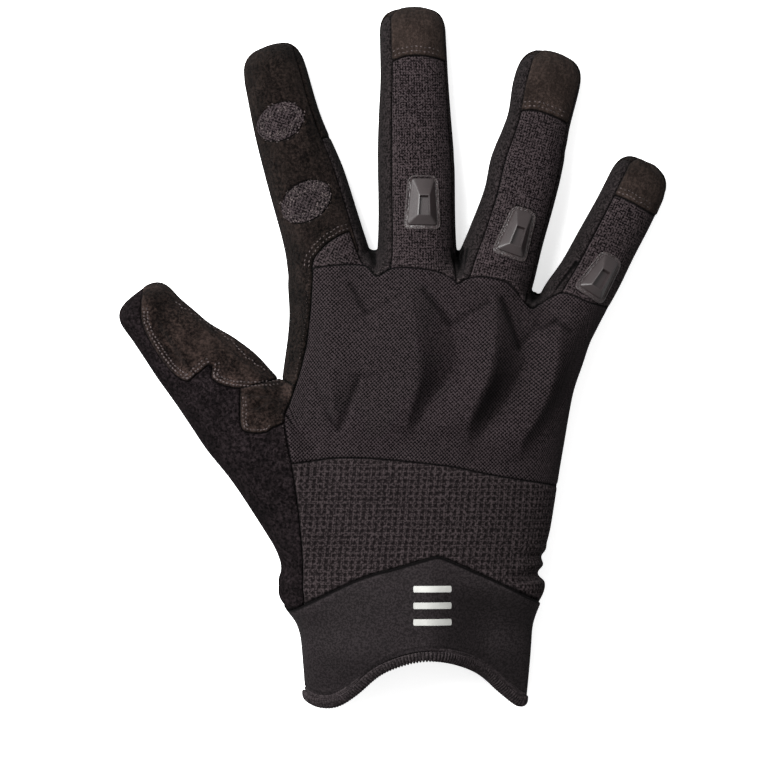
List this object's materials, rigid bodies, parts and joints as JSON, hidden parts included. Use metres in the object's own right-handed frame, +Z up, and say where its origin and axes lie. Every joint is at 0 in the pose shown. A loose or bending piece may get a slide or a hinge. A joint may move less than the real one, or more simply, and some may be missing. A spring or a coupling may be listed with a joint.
{
  "type": "tactical glove",
  "caption": "Right-hand tactical glove lying palm down: suede palm and fingertips, padded knit knuckles, waffle wrist, moulded finger guards and an arched neoprene cuff",
  "frame": {"origin": "middle of the footprint, on the surface that the glove lies on", "axes": "+Z up out of the back of the hand, +Y from the wrist to the fingertips, +X from the thumb to the little finger"},
  "size_m": [0.1848, 0.2377, 0.0366],
  "materials": {
    "suede": "synthetic suede, brown black, brushed",
    "stretch_twill": "fine stretch twill, charcoal",
    "waffle_knit": "open waffle weave, charcoal",
    "rib_knit": "fine ribbed knit, charcoal",
    "flex_knit": "stretch flex patch, dark grey",
    "stretch": "smooth stretch jersey, dark grey",
    "terry": "short brushed terry, black",
    "neoprene": "jersey faced neoprene, black",
    "binding": "overlocked binding, black",
    "moulded_rubber": "moulded thermoplastic rubber, dark grey, satin"
  },
  "bodies": {
    "root": {"cuff": "neoprene", "cuff_binding": "binding", "knuckle_panel": "stretch_twill", "wrist_panel": "waffle_knit", "middle_back": "rib_knit", "ring_back": "rib_knit", "little_back": "rib_knit", "index_flex_lower": "flex_knit", "index_flex_upper": "flex_knit", "index_gusset": "rib_knit", "middle_cap": "suede", "ring_cap": "suede", "little_cap": "suede", "index_wrap": "suede", "thumb_grip": "suede", "thumb_crotch_patch": "suede", "thumb_back": "terry", "palm": "suede", "fourchette_index_middle": "stretch", "fourchette_middle_ring": "stretch", "fourchette_ring_little": "stretch", "middle_guard": "moulded_rubber", "ring_guard": "moulded_rubber", "little_guard": "moulded_rubber"}
  },
  "joints": []
}
